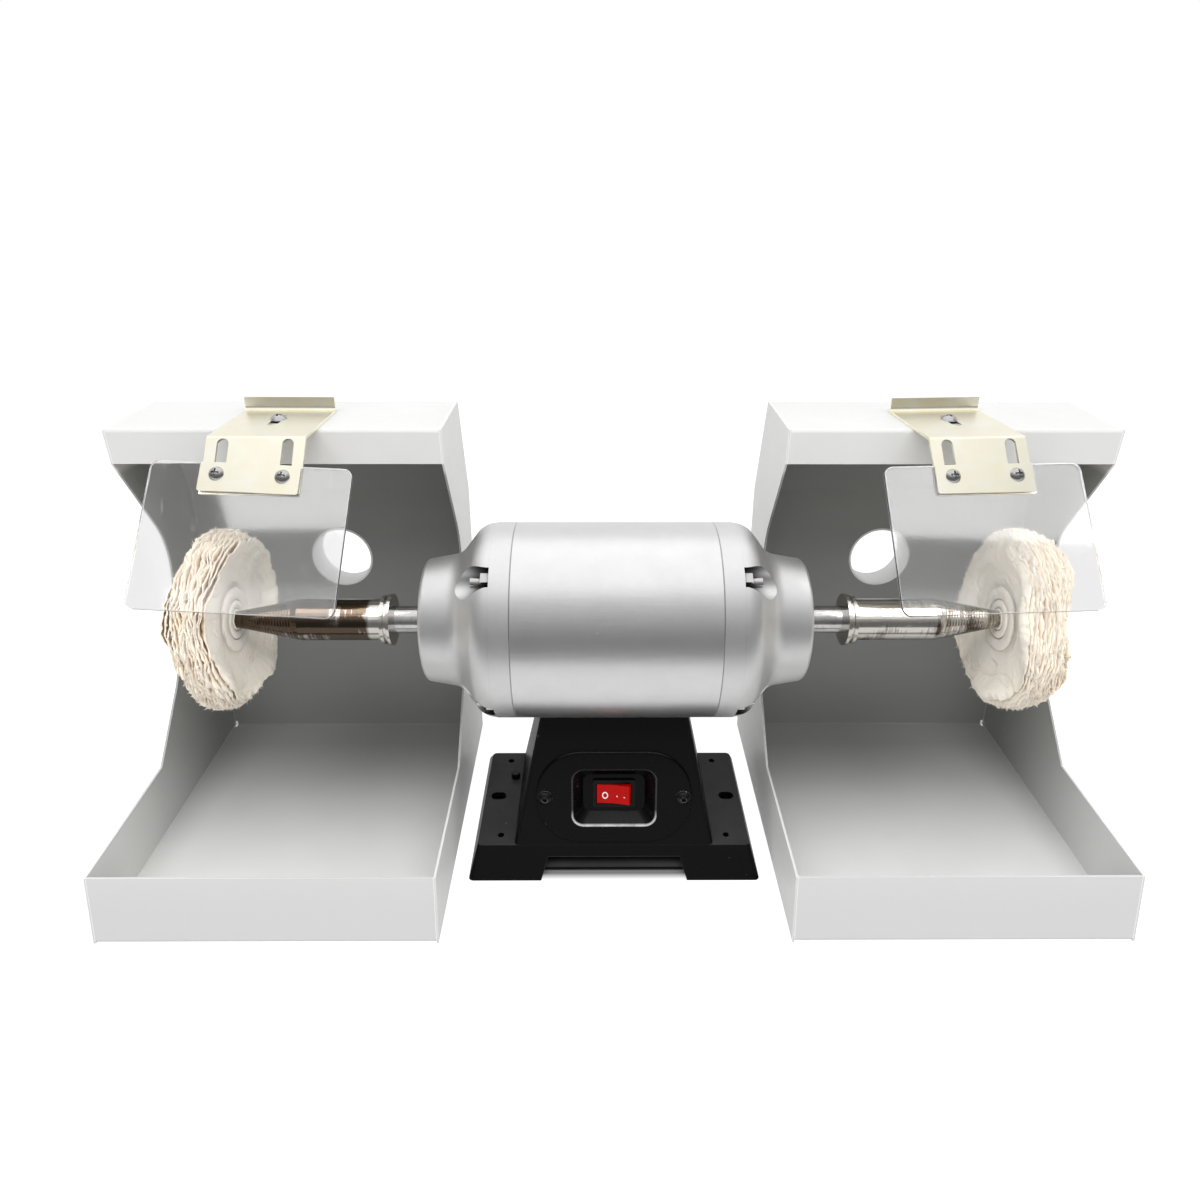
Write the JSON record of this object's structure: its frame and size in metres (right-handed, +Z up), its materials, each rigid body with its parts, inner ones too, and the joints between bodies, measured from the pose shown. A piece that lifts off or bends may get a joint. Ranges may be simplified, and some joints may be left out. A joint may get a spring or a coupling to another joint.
{
  "type": "dental polishing lathe",
  "caption": "Bench-top polishing lathe: motor on a switch pedestal, tapered spindles with cotton mops at both ends, open-fronted splash hoods with suction spigots and adjustable clear shields.",
  "frame": {"origin": "centre of the footprint of hoods, base and spigots, on the bench top", "axes": "+X along the spindle to the user's right, +Y away from the user towards the suction spigots, +Z up"},
  "size_m": [0.5796, 0.239, 0.2603],
  "materials": {
    "base_black": "satin",
    "black_plate": "satin",
    "black_plastic": "matt moulded",
    "dark_screws": "black oxide",
    "red_plastic": "glossy moulded",
    "bright_screws": "zinc plated",
    "capacitor_can": "drawn can",
    "clip_steel": "spring steel",
    "white_plastic": "matt moulded",
    "motor_aluminium": "satin turned casting",
    "core_steel": "laminated",
    "winding_copper": "enamelled copper",
    "cast_cage": "cast",
    "shaft_steel": "ground",
    "bearing_steel": "ground and polished",
    "seal_rubber": "matt",
    "spindle_steel": "polished, handled and scratched",
    "mop_centre": "stitched and stiffened",
    "mop_cotton": "loose woven plies, frayed rim",
    "hood_paint": "satin powder coat",
    "zinc_plate": "yellow passivated zinc",
    "clear_acrylic": "clear polished sheet"
  },
  "bodies": {
    "lathe": {"base_shell": "base_black", "base_bottom_plate": "base_black", "switch_plate": "black_plate", "switch_housing": "black_plastic", "cable_gland": "black_plastic", "gland_nut": "black_plastic", "base_plate_screws": "dark_screws", "motor_mount_screws": "dark_screws", "switch_plate_screws": "dark_screws", "earth_screw": "bright_screws", "through_bolts": "bright_screws", "through_bolt_nuts": "bright_screws", "bracket_nuts": "bright_screws", "capacitor": "capacitor_can", "capacitor_clip": "clip_steel", "wave_washer": "clip_steel", "terminal_block": "white_plastic", "motor_housing": "motor_aluminium", "end_bell_left": "motor_aluminium", "end_bell_right": "motor_aluminium", "stator_core": "core_steel", "stator_windings": "winding_copper", "bearing_outer_rings": "bearing_steel", "shaft_seals": "seal_rubber", "hood_wrapper_left": "hood_paint", "hood_inner_side_left": "hood_paint", "hood_outer_side_left": "hood_paint", "suction_spigot_left": "hood_paint", "hood_wrapper_right": "hood_paint", "hood_inner_side_right": "hood_paint", "hood_outer_side_right": "hood_paint", "suction_spigot_right": "hood_paint"},
    "rotor": {"shaft": "shaft_steel", "rotor_core": "core_steel", "rotor_end_rings": "cast_cage", "bearing_inner_rings": "bearing_steel", "bearing_balls": "bearing_steel", "spindle_left": "spindle_steel", "spindle_right": "spindle_steel", "set_screws": "bright_screws", "mop_hub_left": "mop_centre", "mop_hub_right": "mop_centre", "mop_left": "mop_cotton", "mop_right": "mop_cotton"},
    "rocker": {"switch_rocker": "red_plastic"},
    "pivot_left": {"bracket_screw_left": "bright_screws"},
    "bracket_left": {"shield_bracket_left": "zinc_plate"},
    "screen_left": {"shield_left": "clear_acrylic", "clamp_plate_left": "zinc_plate", "shield_screws_left": "bright_screws", "shield_nuts_left": "bright_screws"},
    "pivot_right": {"bracket_screw_right": "bright_screws"},
    "bracket_right": {"shield_bracket_right": "zinc_plate"},
    "screen_right": {"shield_right": "clear_acrylic", "clamp_plate_right": "zinc_plate", "shield_screws_right": "bright_screws", "shield_nuts_right": "bright_screws"}
  },
  "joints": [
    {"name": "spindle_spin", "type": "hinge", "parent": "lathe", "child": "rotor", "pos_m": [0, -0.0138, 0.1472], "axis": [1, 0, 0], "continuous": true},
    {"name": "rocker_tilt", "type": "hinge", "parent": "lathe", "child": "rocker", "pos_m": [0, -0.04547, 0.04436], "axis": [0, 0.2251, 0.9743], "range_deg": [0, 18]},
    {"name": "bracket_swivel_left", "type": "hinge", "parent": "lathe", "child": "pivot_left", "pos_m": [-0.195, 0.0357, 0.2512], "axis": [0, 0, 1], "range_deg": [-4, 10.7]},
    {"name": "bracket_slide_left", "type": "slide", "parent": "pivot_left", "child": "bracket_left", "axis": [-0.0122, -0.9999, 0], "range_m": [-0.002, 0.006]},
    {"name": "shield_slide_left", "type": "slide", "parent": "bracket_left", "child": "screen_left", "axis": [0.008, 0.6586, 0.7524], "range_m": [-0.0015, 0.012]},
    {"name": "bracket_swivel_right", "type": "hinge", "parent": "lathe", "child": "pivot_right", "pos_m": [0.195, 0.0357, 0.2512], "axis": [0, 0, 1], "range_deg": [-13.8, 2]},
    {"name": "bracket_slide_right", "type": "slide", "parent": "pivot_right", "child": "bracket_right", "axis": [0.0663, -0.9978, 0], "range_m": [-0.001, 0.006]},
    {"name": "shield_slide_right", "type": "slide", "parent": "bracket_right", "child": "screen_right", "axis": [-0.0437, 0.6572, 0.7524], "range_m": [-0.0015, 0.012]}
  ]
}
